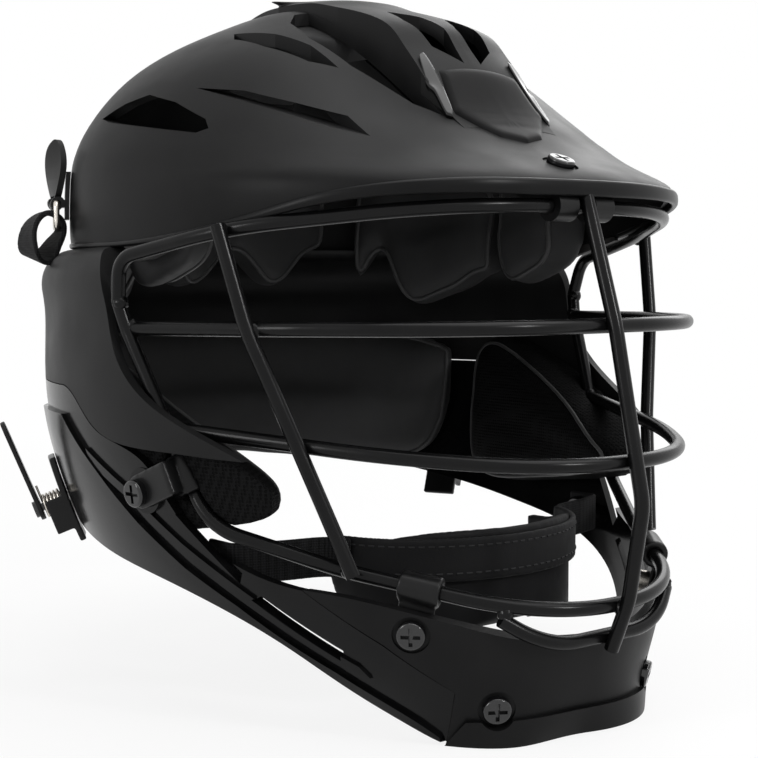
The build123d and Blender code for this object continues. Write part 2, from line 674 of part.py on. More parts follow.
def make_crown_pad(edge_shares):
    """A pad that hangs down inside the crown, past the lower shell's top edge."""
    face = 2 * shell_wall + pad_crown_room
    pad = make_pad(crown_ring_shares, crown_centre_share, edge_shares, pad_depth, face)
    tall = (0, ledge_top_share * shell_rise)
    beside = box(Plane.XY, (-shell_half_width, shell_half_width), (-shell_reach, shell_reach), tall)
    return pad - skin(lower_bell, 0.0, shell_wall + seat_gap, beside)


def lower_pad(edge_shares, depth):
    pad = make_pad(lower_ring_shares, lower_centre_share, edge_shares, depth)
    return pad & lower_bell(shell_wall + seat_gap)


def make_jaw_pad():
    """The pad beside the jaw, with room for the wires, the clip and the nut between it and the wall."""
    pad = lower_pad(jaw_pad_edge_shares, jaw_pad_depth)
    room = wire_diameter + 2 * pad_wire_room
    pad = pad - left_wire(side_wire_shares, side_radius_shares, room)
    pad = pad - left_wire(lower_wire_shares[:3], lower_radius_shares[:1], room)
    pad = pad - cylinder(along(mouth_wire_shares, 0, 0.0), room, -wire_diameter, shell_reach / 2)
    sleeve = wire_diameter + 2 * (clip_wall + pad_wire_room)
    clip = along(side_wire_shares, 1, side_clip_share)
    pad = pad - cylinder(clip, sleeve, -clip_length / 2 - pad_wire_room, clip_length / 2 + pad_wire_room)
    low = -side_screw_length - screw_head_height / 2
    return pad - cylinder(side_plane, nut_diameter + 2 * pad_wire_room, low, cut_overrun)


def make_top_pad():
    column = Plane(origin=Vector(0, crown_centre_share * shell_reach, 0), z_dir=(0, 0, 1))
    face = shell_wall + seat_gap
    return skin(crown_bell, face, face + thin_pad_depth,
                cylinder(column, top_pad_diameter, shell_rise / 2, 2 * shell_rise))


def cup_ring(inset):
    """The plan of the chin cup, a half oval, as a tall solid."""
    centre = Plane(origin=Vector(0, cup_centre_share * shell_reach, -2 * shell_rise), z_dir=(0, 0, 1))
    oval = Face(Wire.make_ellipse(cup_half_width - inset, cup_reach - inset, centre))
    return Solid.extrude(oval, Vector(0, 0, 2 * shell_rise))


def make_chin_cup():
    wall = cup_ring(0.0) - cup_ring(cup_wall)
    return wall & side_block(("curve", cup_side_shares + cup_side_shares[:1]))


def make_cup_band():
    wall = cup_ring(-seat_gap - cup_band_wall) - cup_ring(-seat_gap)
    top = at(cup_end_shares).Z + cup_band_height / 2
    centre = Plane(origin=Vector(0, 0, top), z_dir=(0, 0, 1))
    front = box(centre, (-shell_half_width, shell_half_width),
                (-shell_reach, at(cup_end_shares).Y), (-cup_band_height, 0))
    return wall & front


def strip_face(points, thickness, closed=False):
    """The edge view of a strip of even thickness that follows a curve through the points."""
    sides = []
    count = len(points)
    for side in (-thickness / 2, thickness / 2):
        moved = []
        for index, point in enumerate(points):
            before = points[index - 1] if closed or index else point
            after = points[(index + 1) % count] if closed or index < count - 1 else point
            run = after - before
            moved.append(point + Vector(-run.Y, run.X, 0).normalized() * side)
        sides.append(moved)
    if closed:
        wires = [Wire([Edge.make_spline(side, periodic=True)]) for side in sides]
        faces = sorted([Face(wire) for wire in wires], key=lambda face: face.area)
        return faces[1] - faces[0]
    first, second = [Edge.make_spline(side) for side in sides]
    ends = [Edge.make_line(first @ 1, second @ 1), Edge.make_line(second @ 0, first @ 0)]
    return Face(Wire([first, ends[0], second, ends[1]]))


def extruded(face, plane, width):
    """A flat outline drawn in x and y, carried to a plane and given its width along the plane's z."""
    if not isinstance(face, Face):
        face = face.faces()[0]
    solid = Solid.extrude(face, Vector(0, 0, width))
    return solid.moved(Location(plane)).moved(Location(plane.z_dir * (-width / 2)))


def strap_frame():
    """The plane of a chin strap's run: x along the run, y to the wearer's left."""
    snap, end = at(snap_place_shares), at(cup_end_shares)
    run = Vector(0, snap.Y - end.Y, snap.Z - end.Z)
    start = Vector(cup_half_width + 2 * seat_gap + cup_band_wall + strap_thickness / 2, end.Y, end.Z)
    plane = Plane(origin=start, x_dir=run.normalized(), z_dir=run.normalized().cross(Vector(1, 0, 0)))
    return plane, run.length, snap.X - start.X


def make_chin_strap():
    """A flat strap from the end of the chin cup to its snap on the lower shell."""
    plane, length, rise = strap_frame()
    points = [Vector(run * length, out * rise) for run, out in strap_run_shares]
    strap = extruded(strip_face(points, strap_thickness), plane, strap_width)
    strap = strap - cup_ring(-cup_band_wall - 2 * seat_gap)
    hole = snap_post_diameter + 2 * bore_clearance
    return strap - cylinder(snap_plane(), hole, -cut_overrun, cut_overrun)


def make_snap():
    """A snap: a cap inside the strap and a post into the lower shell's wall."""
    plane = snap_plane()
    floor = -strap_thickness / 2 - seat_gap
    cap = cylinder(plane, snap_diameter, floor - snap_thickness, floor)
    edges = cap.edges().filter_by(GeomType.CIRCLE).sort_by(Axis.X)
    cap = cap.fillet(snap_thickness / 3, [edges[0]])
    return cap + cylinder(plane, snap_post_diameter, floor - snap_thickness / 2, snap_depth)


def buckle_floor():
    """The height of the buckle's floor over its plane."""
    return band_height + seat_gap + buckle_base_thickness


def lever_floor():
    """The height of the underside of the lever's hub."""
    return buckle_floor() + seat_gap + spring_turns * spring_pitch + spring_wire + seat_gap


def make_buckle_housing():
    """The plate on the jaw guard, with two cheeks beside the spring and a bore for the pin."""
    half = buckle_width / 2
    tall = (-buckle_height / 2, buckle_height / 2)
    plate = skin(lower_bell, -buckle_floor(), -band_height - seat_gap,
                 box(buckle_plane, (-half, half), tall, (-cut_overrun, cut_overrun)))
    floor = cylinder(buckle_plane, buckle_width, band_height + 2 * seat_gap, buckle_floor())
    cheek_low = buckle_floor() - buckle_base_thickness / 2
    cheek = box(buckle_plane, (-half, -half + buckle_cheek_thickness),
                (-buckle_height / 3, buckle_cheek_thickness), (cheek_low, buckle_cheek_height))
    other = cheek.moved(Location(buckle_plane.x_dir * (buckle_width - buckle_cheek_thickness)))
    bore = cylinder(buckle_plane, pin_diameter + 2 * bore_clearance, -cut_overrun, cut_overrun)
    return joined([plate, floor, cheek, other]) - bore


def make_buckle_pin():
    top = lever_floor() + lever_thickness + bore_clearance
    shank = cylinder(buckle_plane, pin_diameter, band_height + 2 * seat_gap, top)
    return shank + cylinder(buckle_plane, pin_head_diameter, top, top + pin_head_height)


def spring_points():
    """The centre line of the spring: a straight leg, the coils and another straight leg."""
    radius = spring_diameter / 2
    low = buckle_floor() + seat_gap + spring_wire / 2
    points = [Vector(radius, -spring_leg * share, low) for share in (1.0, 0.7, 0.4, 0.15)]
    steps = spring_turns * spring_turn_points
    for step in range(steps + 1):
        turn = 2 * math.pi * step / spring_turn_points
        height = low + spring_pitch * spring_turns * step / steps
        points.append(Vector(radius * math.cos(turn), radius * math.sin(turn), height))
    top = low + spring_pitch * spring_turns
    points += [Vector(radius, spring_leg * share, top) for share in (0.15, 0.4, 0.7, 1.0)]
    return points


def spring_gap():
    """The least free space between one coil of the spring and the rest of it."""
    points = spring_points()
    apart = spring_turn_points // 2
    distances = [(a - b).length for i, a in enumerate(points) for b in points[i + apart:]]
    return min(distances) - spring_wire


def make_buckle_spring():
    points = [buckle_plane.from_local_coords(point) for point in spring_points()]
    path = Edge.make_spline(points)
    start = Plane(origin=path @ 0, z_dir=path % 0)
    return Solid.sweep(Wire.make_circle(spring_wire / 2, start), path)


def make_lever():
    """The buckle's lever: a thin plate that rises beside the shell, on a hub round the pin."""
    low = lever_floor()
    hub = cylinder(buckle_plane, lever_hub_diameter, low, low + lever_thickness)
    hub_plane = Plane(origin=buckle_plane.from_local_coords(Vector(0, 0, low)), x_dir=buckle_plane.x_dir,
                      z_dir=buckle_plane.z_dir)
    lean = math.degrees(math.atan2(lever_lean, lever_length))
    plate_plane = hub_plane.rotated((-lean, 0, 0))
    half = lever_width / 2
    plate = box(plate_plane, (-half, half), (0, lever_length - half), (0, lever_thickness))
    end = plate_plane.from_local_coords(Vector(0, lever_length - half, 0))
    tip = Plane(origin=end, x_dir=plate_plane.x_dir, z_dir=plate_plane.z_dir)
    lever = joined([hub, plate, cylinder(tip, lever_width, 0, lever_thickness)])
    head_room = cylinder(buckle_plane, pin_head_diameter + 2 * seat_gap, low + lever_thickness, cut_overrun)
    bore = cylinder(buckle_plane, pin_diameter + 2 * bore_clearance, -cut_overrun, cut_overrun)
    return lever - head_room - bore


def ring_axis(x_low, x_high, diameter):
    """A cylinder along the adjuster ring's upper bar."""
    start = adjuster_plane.from_local_coords(Vector(x_low, 0, ring_stand_off))
    return Solid.make_cylinder(diameter / 2, x_high - x_low, Plane(origin=start, z_dir=adjuster_plane.x_dir))


def make_anchor():
    """The plate on the crown that holds the adjuster ring."""
    half = sleeve_width / 2
    tall = (-anchor_height / 3, 2 * anchor_height / 3)
    plate = skin(crown_bell, -seat_gap - anchor_thickness, -seat_gap,
                 box(adjuster_plane, (-half, half), tall, (-cut_overrun, cut_overrun)))
    neck = box(adjuster_plane, (-half, half), (-sleeve_wall, sleeve_wall),
               (seat_gap + anchor_thickness / 2, ring_stand_off))
    sleeve = ring_axis(-half, half, ring_bar + 2 * bore_clearance + 2 * sleeve_wall)
    bore = ring_axis(-cut_overrun, cut_overrun, ring_bar + 2 * bore_clearance)
    return joined([plate, neck, sleeve]) - bore


def make_adjuster_ring():
    """A closed four-sided ring of round wire."""
    width, height = ring_width / 2, ring_height
    corners = [(width, 0), (width, -height), (-width, -height), (-width, 0)]
    corners = [adjuster_plane.from_local_coords(Vector(x, y, ring_stand_off)) for x, y in corners]
    path = FilletPolyline(*corners, radius=ring_bar, close=True)
    start = Plane(origin=path @ 0, z_dir=path % 0)
    return Solid.sweep(Wire.make_circle(ring_bar / 2, start), path)


def make_webbing_loop():
    """The webbing folded round the ring's lower bar."""
    side = Plane(origin=adjuster_plane.origin, x_dir=adjuster_plane.y_dir, z_dir=adjuster_plane.x_dir)
    points = [Vector(up * ring_height, out * ring_stand_off) for up, out in webbing_loop_shares]
    return extruded(strip_face(points, webbing_thickness, closed=True), side, webbing_width)


def make_pull_tab():
    """A leaf-shaped tab that turns on the ring's upper bar."""
    outline = [Vector(x * tab_width, y * tab_height) for x, y in tab_outline_shares]
    face = Face(Wire([Edge.make_spline(outline, periodic=True)]))
    middle = Plane(origin=adjuster_plane.from_local_coords(Vector(0, 0, ring_stand_off)),
                   x_dir=adjuster_plane.x_dir, z_dir=adjuster_plane.z_dir)
    leaf = extruded(face, middle, tab_thickness)
    inner = sleeve_width / 2 + seat_gap
    outer = tab_width / 2
    barrel = ring_bar + 2 * bore_clearance + 2 * sleeve_wall
    room = box(middle, (-inner, inner), (-cut_overrun, barrel / 2 + seat_gap), (-cut_overrun, cut_overrun))
    tab = joined([leaf, ring_axis(-outer, -inner, barrel), ring_axis(inner, outer, barrel)]) - room
    return tab - ring_axis(-cut_overrun, cut_overrun, ring_bar + 2 * bore_clearance)


def save(name, shape):
    """Write one named part, made of one or more solids."""
    solids = shape.solids()
    whole = solids[0] if len(solids) == 1 else Compound(children=list(solids))
    export_step(whole, f"parts/{name}.step")
    print(name, len(solids), "solids,", round(whole.volume), "mm3")


def save_pair(name, shape):
    """Write a part of the wearer's left side and its mirror image for the right."""
    save(f"{name}_left", shape)
    save(f"{name}_right", mirrored(shape))


def save_shells():
    save("crown_shell", make_crown())
    save_pair("vent_liner", make_vent_liner())
    save_pair("temple_trim", make_trim())
    save("lower_shell", make_lower_shell())
    save_pair("jaw_guard", make_jaw_guard())
    save("chin_guard", make_chin_guard())


def save_cage():
    save("brow_wire", crossing_wire(brow_wire_shares, brow_radius_shares))
    save_pair("side_wire", left_wire(side_wire_shares, side_radius_shares))
    save("lower_wire", crossing_wire(lower_wire_shares, lower_radius_shares))
    save("mouth_wire", crossing_wire(mouth_wire_shares, mouth_radius_shares))
    save("eye_wire", crossing_wire(eye_wire_shares, eye_radius_shares))
    save("chin_wire", crossing_wire(chin_wire_shares, chin_radius_shares))
    save("centre_bar", left_wire(centre_bar_shares, centre_bar_radius_shares))
    save_pair("side_bar", left_wire(side_bar_shares, side_bar_radius_shares))


def save_fixings():
    save("brow_clip", make_brow_clip())
    save_pair("side_clip", make_side_clip())
    save_pair("front_clip", make_front_clip())
    _, back = seat_cuts(visor_plane)
    side_floor = boss_height + clip_tab_thickness
    save("visor_screw", make_screw(visor_plane, -screw_seat_depth, visor_screw_length))
    side_screw = make_screw(side_plane, side_floor, side_floor + side_screw_length)
    save("side_screws", side_screw + mirrored(side_screw))
    chin = [make_screw(front_plane, -screw_seat_depth, chin_screw_length),
            make_screw(chin_plane, -screw_seat_depth, chin_screw_length)]
    save("chin_screws", joined(chin + [mirrored(screw) for screw in chin]))
    nuts = [make_nut(side_plane, -shell_wall + screw_seat_depth / 2),
            make_nut(front_plane, back - clip_tab_thickness), make_nut(chin_plane, back)]
    save("shell_nuts", joined(nuts + [mirrored(nut) for nut in nuts]))


def save_pads():
    save("brow_pad", make_brow_pad())
    save("top_pad", make_top_pad())
    save_pair("side_pad", make_crown_pad(side_pad_edge_shares))
    save_pair("rear_pad", make_crown_pad(rear_pad_edge_shares))
    save("back_pad", make_crown_pad(back_pad_edge_shares))
    save("neck_pad", lower_pad(neck_pad_edge_shares, pad_depth))
    save_pair("jaw_pad", make_jaw_pad())


def save_chin_cup():
    save("chin_cup", make_chin_cup())
    save("chin_cup_band", make_cup_band())
    save_pair("chin_strap", make_chin_strap())
    save_pair("strap_snap", make_snap())


def save_straps():
    save_pair("buckle_housing", make_buckle_housing())
    save_pair("buckle_pin", make_buckle_pin())
    save_pair("buckle_spring", make_buckle_spring())
    save_pair("release_lever", make_lever())
    save_pair("ring_anchor", make_anchor())
    save_pair("adjuster_ring", make_adjuster_ring())
    save_pair("webbing_loop", make_webbing_loop())
    save_pair("pull_tab", make_pull_tab())
    print("least gap of the spring to itself", round(spring_gap(), 2), "mm")


os.makedirs("parts", exist_ok=True)
save_shells()
save_cage()
save_fixings()
save_pads()
save_chin_cup()
save_straps()
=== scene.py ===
import math

import bmesh
import bpy
from mathutils import Matrix, Vector
from mathutils.bvhtree import BVHTree
from mathutils.noise import noise as noise_at


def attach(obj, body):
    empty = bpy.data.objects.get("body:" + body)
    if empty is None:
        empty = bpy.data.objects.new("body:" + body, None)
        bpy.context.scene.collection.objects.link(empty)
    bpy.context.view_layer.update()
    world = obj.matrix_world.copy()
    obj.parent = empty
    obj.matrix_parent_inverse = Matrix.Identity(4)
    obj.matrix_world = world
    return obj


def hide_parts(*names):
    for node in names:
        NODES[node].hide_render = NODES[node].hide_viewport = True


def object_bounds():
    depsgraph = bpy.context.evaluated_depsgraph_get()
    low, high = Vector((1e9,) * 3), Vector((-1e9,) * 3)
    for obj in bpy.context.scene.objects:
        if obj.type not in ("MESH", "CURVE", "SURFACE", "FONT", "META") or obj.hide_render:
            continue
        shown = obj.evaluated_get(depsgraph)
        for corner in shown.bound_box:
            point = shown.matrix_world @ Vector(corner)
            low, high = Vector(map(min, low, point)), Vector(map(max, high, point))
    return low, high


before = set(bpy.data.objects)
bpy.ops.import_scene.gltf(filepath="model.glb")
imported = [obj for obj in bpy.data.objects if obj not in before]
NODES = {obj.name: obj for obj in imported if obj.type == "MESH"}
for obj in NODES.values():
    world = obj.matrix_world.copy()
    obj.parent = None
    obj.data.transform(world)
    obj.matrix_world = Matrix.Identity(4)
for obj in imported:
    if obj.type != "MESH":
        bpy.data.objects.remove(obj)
CAD_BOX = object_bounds()
MM = 0.001


# Camera, floor and light

CAMERA_PLACE = Vector((-0.37883, -0.47648, 0.01621))
CAMERA_BACK = Vector((-0.64123, -0.76418, 0.06976))
CAMERA_RIGHT = Vector((0.76604, -0.64279, 0.0))
SENSOR_MM = 36.0
LENS_MM = 73.47
SHIFT_X, SHIFT_Y = -0.0259, -0.0020
NEAREST, FARTHEST = 0.01, 20.0

SOFT_LIGHT = 0.35
PURE_WHITE = 1.0
FLOOR_WIDTH = 6.0
FLOOR_DROP = 0.0002
FLOOR_GREY = 0.93
SHADOW_SHARE = 0.85
SHADOW_FROM, SHADOW_TO = 0.2, 0.9

# Name, place, size in metres and power in watts. Each lamp aims at the middle.
LAMPS = [
    ("top", (0.15, -0.35, 1.15), (1.3, 1.3), 12.0),
    ("left", (-1.2, 0.05, 0.35), (0.2, 0.5), 4.0),
    ("front", (0.3, -1.25, 0.6), (0.14, 0.14), 4.5),
    ("right", (1.05, 0.5, 0.75), (0.8, 0.8), 4.5),
]


def set_camera():
    """The camera at the photo's viewing angle."""
    data = bpy.data.cameras.new("camera")
    camera = bpy.data.objects.new("camera", data)
    bpy.context.scene.collection.objects.link(camera)
    up = CAMERA_BACK.cross(CAMERA_RIGHT)
    turn = Matrix((CAMERA_RIGHT, up, CAMERA_BACK)).transposed().to_4x4()
    camera.matrix_world = Matrix.Translation(CAMERA_PLACE) @ turn
    data.sensor_width = SENSOR_MM
    data.lens = LENS_MM
    data.shift_x, data.shift_y = SHIFT_X, SHIFT_Y
    data.clip_start, data.clip_end = NEAREST, FARTHEST
    bpy.context.scene.camera = camera


def seen_directly(tree):
    """1 for camera, glossy and transmission rays, else 0."""
    path = tree.nodes.new("ShaderNodeLightPath")
    seen = path.outputs["Is Camera Ray"]
    for ray in ("Is Glossy Ray", "Is Transmission Ray"):
        larger = tree.nodes.new("ShaderNodeMath")
        larger.operation = "MAXIMUM"
        tree.links.new(seen, larger.inputs[0])
        tree.links.new(path.outputs[ray], larger.inputs[1])
        seen = larger.outputs[0]
    return seen


def white_light(tree, kind, strength):
    made = tree.nodes.new(kind)
    made.inputs["Color"].default_value = (1, 1, 1, 1)
    made.inputs["Strength"].default_value = strength
    return made.outputs[0]


def mixed_surface(tree, share, first, second, kind):
    """An output that shows the first shader, and the second by its share."""
    mix = tree.nodes.new("ShaderNodeMixShader")
    tree.links.new(share, mix.inputs["Fac"])
    tree.links.new(first, mix.inputs[1])
    tree.links.new(second, mix.inputs[2])
    tree.links.new(mix.outputs[0], tree.nodes.new(kind).inputs["Surface"])


def set_world():
    """Soft light on the object and a white world behind it."""
    world = bpy.data.worlds.new("world")
    bpy.context.scene.world = world
    world.use_nodes = True
    tree = world.node_tree
    tree.nodes.clear()
    soft = white_light(tree, "ShaderNodeBackground", SOFT_LIGHT)
    white = white_light(tree, "ShaderNodeBackground", PURE_WHITE)
    mixed_surface(tree, seen_directly(tree), soft, white, "ShaderNodeOutputWorld")


def set_floor():
    """A white floor that keeps the object's shadow near it."""
    bpy.ops.mesh.primitive_plane_add(size=FLOOR_WIDTH, location=(0, 0, CAD_BOX[0][2] - FLOOR_DROP))
    floor = bpy.context.object
    floor.name = "floor"
    mat = bpy.data.materials.new("floor")
    mat.use_nodes = True
    tree = mat.node_tree
    tree.nodes.clear()
    cloth = tree.nodes.new("ShaderNodeBsdfDiffuse")
    cloth.inputs["Color"].default_value = (FLOOR_GREY, FLOOR_GREY, FLOOR_GREY, 1)
    glow = white_light(tree, "ShaderNodeEmission", PURE_WHITE)
    where = tree.nodes.new("ShaderNodeTexCoord")
    reach = tree.nodes.new("ShaderNodeVectorMath")
    reach.operation = "LENGTH"
    tree.links.new(where.outputs["Object"], reach.inputs[0])
    fade = ramp(tree, reach.outputs["Value"], SHADOW_SHARE, 1.0, SHADOW_FROM, SHADOW_TO)
    share = tree.nodes.new("ShaderNodeMath")
    share.operation = "MULTIPLY"
    tree.links.new(seen_directly(tree), share.inputs[0])
    tree.links.new(fade, share.inputs[1])
    mixed_surface(tree, share.outputs[0], cloth.outputs[0], glow, "ShaderNodeOutputMaterial")
    floor.data.materials.append(mat)


def set_lamps():
    for name, place, size, power in LAMPS:
        data = bpy.data.lights.new(name, "AREA")
        data.shape = "RECTANGLE"
        data.size, data.size_y = size
        data.energy = power
        obj = bpy.data.objects.new(name, data)
        bpy.context.scene.collection.objects.link(obj)
        obj.location = place
        obj.rotation_euler = (-Vector(place)).to_track_quat("-Z", "Y").to_euler()


# Material building, with the pattern sizes and bump depths in mm

WEAR_SIZE, GRAIN_DEPTH = 26.0, 0.12
PEEL_SIZE, PATCH_SIZE, PEEL_DEPTH = 0.9, 14.0, 0.08
LINE_SIZE, LINE_DEPTH = 0.35, 0.03
CREASE_SIZE, PORE_SIZE, PORE_SHARE, CREASE_DEPTH = 9.0, 0.5, 0.25, 0.5
RIB_DEPTH, HOLE_DEPTH = 0.35, 0.6
WAVE_SCALE = 0.31416
NOISE_BAND = (0.35, 0.65)

def material(name):
    mat = bpy.data.materials.new(name)
    mat.use_nodes = True
    tree = mat.node_tree
    shader = tree.nodes["Principled BSDF"]
    return mat, tree, shader


def node(tree, kind, **values):
    made = tree.nodes.new(kind)
    for key, value in values.items():
        if hasattr(made, key):
            setattr(made, key, value)
        else:
            made.inputs[key.replace("_", " ")].default_value = value
    return made


def place_in_mm(tree):
    """The surface point in millimetres."""
    where = node(tree, "ShaderNodeTexCoord")
    scale = node(tree, "ShaderNodeVectorMath", operation="SCALE")
    scale.inputs["Scale"].default_value = 1000.0
    tree.links.new(where.outputs["Object"], scale.inputs[0])
    return scale.outputs["Vector"]


def noise(tree, place, size_mm, detail=2.0, rough=0.5):
    made = node(tree, "ShaderNodeTexNoise", Scale=1.0 / size_mm, Detail=detail, Roughness=rough)
    tree.links.new(place, made.inputs["Vector"])
    return made.outputs["Fac"]


def ramp(tree, value, low, high, low_at=0.0, high_at=1.0):
    made = node(tree, "ShaderNodeMapRange")
    made.inputs["From Min"].default_value = low_at
    made.inputs["From Max"].default_value = high_at
    made.inputs["To Min"].default_value = low
    made.inputs["To Max"].default_value = high
    tree.links.new(value, made.inputs["Value"])
    return made.outputs["Result"]


def blend_colour(tree, value, low, high):
    made = node(tree, "ShaderNodeMix", data_type="RGBA")
    tree.links.new(value, made.inputs[0])
    made.inputs[6].default_value = (*low, 1)
    made.inputs[7].default_value = (*high, 1)
    return made.outputs[2]


def add_bump(tree, shader, height, strength, depth_mm):
    made = node(tree, "ShaderNodeBump", Strength=strength, Distance=depth_mm * MM)
    tree.links.new(height, made.inputs["Height"])
    tree.links.new(made.outputs["Normal"], shader.inputs["Normal"])


def total(tree, first, second, share=1.0):
    part = node(tree, "ShaderNodeMath", operation="MULTIPLY")
    part.inputs[1].default_value = share
    tree.links.new(second, part.inputs[0])
    made = node(tree, "ShaderNodeMath", operation="ADD")
    tree.links.new(first, made.inputs[0])
    tree.links.new(part.outputs[0], made.inputs[1])
    return made.outputs[0]


def feed(tree, value, shader, socket):
    tree.links.new(value, shader.inputs[socket])


def moulded(name, dark, light, rough, grain_mm, grain, specular):
    """Moulded plastic: a fine grain and patches of handling."""
    mat, tree, shader = material(name)
    place = place_in_mm(tree)
    wear = noise(tree, place, WEAR_SIZE, 3.0)
    fine = noise(tree, place, grain_mm, 3.0, 0.6)
    patches = ramp(tree, wear, 0, 1, *NOISE_BAND)
    feed(tree, blend_colour(tree, patches, dark, light), shader, "Base Color")
    feed(tree, ramp(tree, wear, *rough, *NOISE_BAND), shader, "Roughness")
    shader.inputs["Specular IOR Level"].default_value = specular
    add_bump(tree, shader, fine, grain, GRAIN_DEPTH)
    return mat


def wire_coat(name, dark, light):
    """Powder coat on wire: satin with a slight orange peel."""
    mat, tree, shader = material(name)
    place = place_in_mm(tree)
    peel = noise(tree, place, PEEL_SIZE)
    patches = noise(tree, place, PATCH_SIZE)
    feed(tree, blend_colour(tree, patches, dark, light), shader, "Base Color")
    feed(tree, ramp(tree, patches, 0.2, 0.28, 0.3, 0.7), shader, "Roughness")
    shader.inputs["Specular IOR Level"].default_value = 0.16
    add_bump(tree, shader, peel, 0.15, PEEL_DEPTH)
    return mat


def steel(name, dark, light, rough):
    """Bare metal with fine drawn lines."""
    mat, tree, shader = material(name)
    lines = noise(tree, place_in_mm(tree), LINE_SIZE, 3.0)
    shader.inputs["Metallic"].default_value = 1.0
    feed(tree, blend_colour(tree, lines, dark, light), shader, "Base Color")
    feed(tree, ramp(tree, lines, *rough), shader, "Roughness")
    add_bump(tree, shader, lines, 0.1, LINE_DEPTH)
    return mat


def foam_skin(name, dark, light, rough=(0.47, 0.67)):
    """A smooth foam skin with soft creases, darker in their hollows: painted shade."""
    mat, tree, shader = material(name)
    place = place_in_mm(tree)
    creases = noise(tree, place, CREASE_SIZE, 4.0)
    pores = noise(tree, place, PORE_SIZE)
    # The tone follows the creases' height, darker in their hollows: painted shade.
    feed(tree, blend_colour(tree, creases, dark, light), shader, "Base Color")
    feed(tree, ramp(tree, creases, *rough, 0.3, 0.7), shader, "Roughness")
    shader.inputs["Specular IOR Level"].default_value = 0.13
    shader.inputs["Sheen Weight"].default_value = 0.04
    shader.inputs["Sheen Roughness"].default_value = 0.5
    add_bump(tree, shader, total(tree, creases, pores, PORE_SHARE), 0.35, CREASE_DEPTH)
    return mat


def woven(name, dark, light, pitch_mm):
    """Woven webbing: crossed ribs, with painted shade darkening the holes between them."""
    mat, tree, shader = material(name)
    place = place_in_mm(tree)
    waves = []
    for direction in ("X", "Y", "Z"):
        wave = node(tree, "ShaderNodeTexWave", wave_type="BANDS", bands_direction=direction,
                    Scale=WAVE_SCALE / pitch_mm, Distortion=0.4, Detail=1.0)
        tree.links.new(place, wave.inputs["Vector"])
        waves.append(wave.outputs["Fac"])
    cross = total(tree, total(tree, waves[0], waves[1]), waves[2])
    height = ramp(tree, cross, 0.0, 1.0, 0.4, 2.4)
    # Darker where the weave sinks between the ribs: painted shade.
    feed(tree, blend_colour(tree, height, dark, light), shader, "Base Color")
    shader.inputs["Roughness"].default_value = 0.75
    shader.inputs["Specular IOR Level"].default_value = 0.1
    shader.inputs["Sheen Weight"].default_value = 0.02
    add_bump(tree, shader, height, 0.6, RIB_DEPTH)
    return mat


def mesh_cloth(name, dark, light, pitch_mm):
    """Airy cloth: rows of small sunk holes in a soft skin, with painted shade darkening the holes.
    """
    mat, tree, shader = material(name)
    cells = node(tree, "ShaderNodeTexVoronoi", Scale=1.0 / pitch_mm, Randomness=0.12)
    tree.links.new(place_in_mm(tree), cells.inputs["Vector"])
    skin = ramp(tree, cells.outputs["Distance"], 0.0, 1.0, 0.28, 0.5)
    # Darker in the sunk holes: painted shade.
    feed(tree, blend_colour(tree, skin, dark, light), shader, "Base Color")
    shader.inputs["Roughness"].default_value = 0.7
    shader.inputs["Specular IOR Level"].default_value = 0.06
    add_bump(tree, shader, skin, 0.8, HOLE_DEPTH)
    return mat


def grey(level, blue=0.0002):
    """A dark grey with a little more blue than the rest."""
    return level, level, level + blue


# Moulded plastics: darkest and lightest tone, roughness, grain size in mm, grain depth, specular
SHELL = moulded("shell_matte", grey(0.006), grey(0.009), (0.38, 0.48), 0.45, 0.25, 0.095)
# The lip is the shell's plastic in a darker tone, painted shade on the band under the visor's rim,
# with a satin finish.
LIP = moulded("lip_satin_painted_shade", grey(0.004), grey(0.006), (0.28, 0.36), 0.45, 0.15, 0.12)
# The nose plate is the shell's plastic in a darker tone: painted shade on the steep face in front
# of the ridge.
NOSE_PLATE_PAINTED_SHADE = moulded("nose_matte_painted_shade", grey(0.004), grey(0.006), (0.34, 0.42), 0.45, 0.2, 0.05)
LOWER = moulded("lower_matte", grey(0.010), grey(0.013), (0.4, 0.5), 0.45, 0.25, 0.1)
GUARD = moulded("guard_satin", grey(0.003), grey(0.005), (0.14, 0.22), 0.8, 0.1, 0.16)
CHIN = moulded("chin_matte", grey(0.005), grey(0.007), (0.34, 0.44), 0.45, 0.25, 0.12)
GLOSS = moulded("liner_gloss", grey(0.002, 0.0), grey(0.004, 0.0), (0.08, 0.14), 3.0, 0.05, 0.4)
TRIM = moulded("trim_grey", (0.028, 0.027, 0.027), (0.036, 0.035, 0.034), (0.5, 0.6),
               0.5, 0.3, 0.15)
CLIP = moulded("clip_satin", grey(0.004), grey(0.007), (0.26, 0.38), 0.6, 0.2, 0.2)
TAB = moulded("tab_rubber", grey(0.007, 0.0), grey(0.012, 0.0), (0.45, 0.6), 0.5, 0.35, 0.2)
SCREW = moulded("screw_black", grey(0.004, 0.0005), grey(0.006, 0.0005), (0.1, 0.16),
                0.4, 0.12, 0.6)

WIRE = wire_coat("wire_coat", grey(0.002), grey(0.005))
STEEL = steel("bright_steel", (0.576, 0.544, 0.496), (0.72, 0.68, 0.62), (0.196, 0.392))
PAD = foam_skin("pad_skin", grey(0.02, 0.0005), grey(0.032, 0.0005))
NECK = foam_skin("neck_skin", grey(0.028, 0.0005), grey(0.044, 0.0005))
# The piping is painted lighter than the pads: a painted highlight along the bead.
PIPING = foam_skin("piping_painted_highlight", grey(0.042, 0.0005), grey(0.056, 0.0005), (0.28, 0.48))
CUP = foam_skin("cup_skin", grey(0.005, 0.0005), grey(0.011, 0.0005), (0.52, 0.72))
THREAD = foam_skin("thread", grey(0.02, 0.001), grey(0.03, 0.001), (0.52, 0.72))
MESH = mesh_cloth("pad_mesh", grey(0.0008, 0.0), grey(0.0045), 1.3)
WEB = woven("webbing", grey(0.003, 0.0), grey(0.016, 0.001), 0.9)


def both(name):
    return [f"{name}_left", f"{name}_right"]


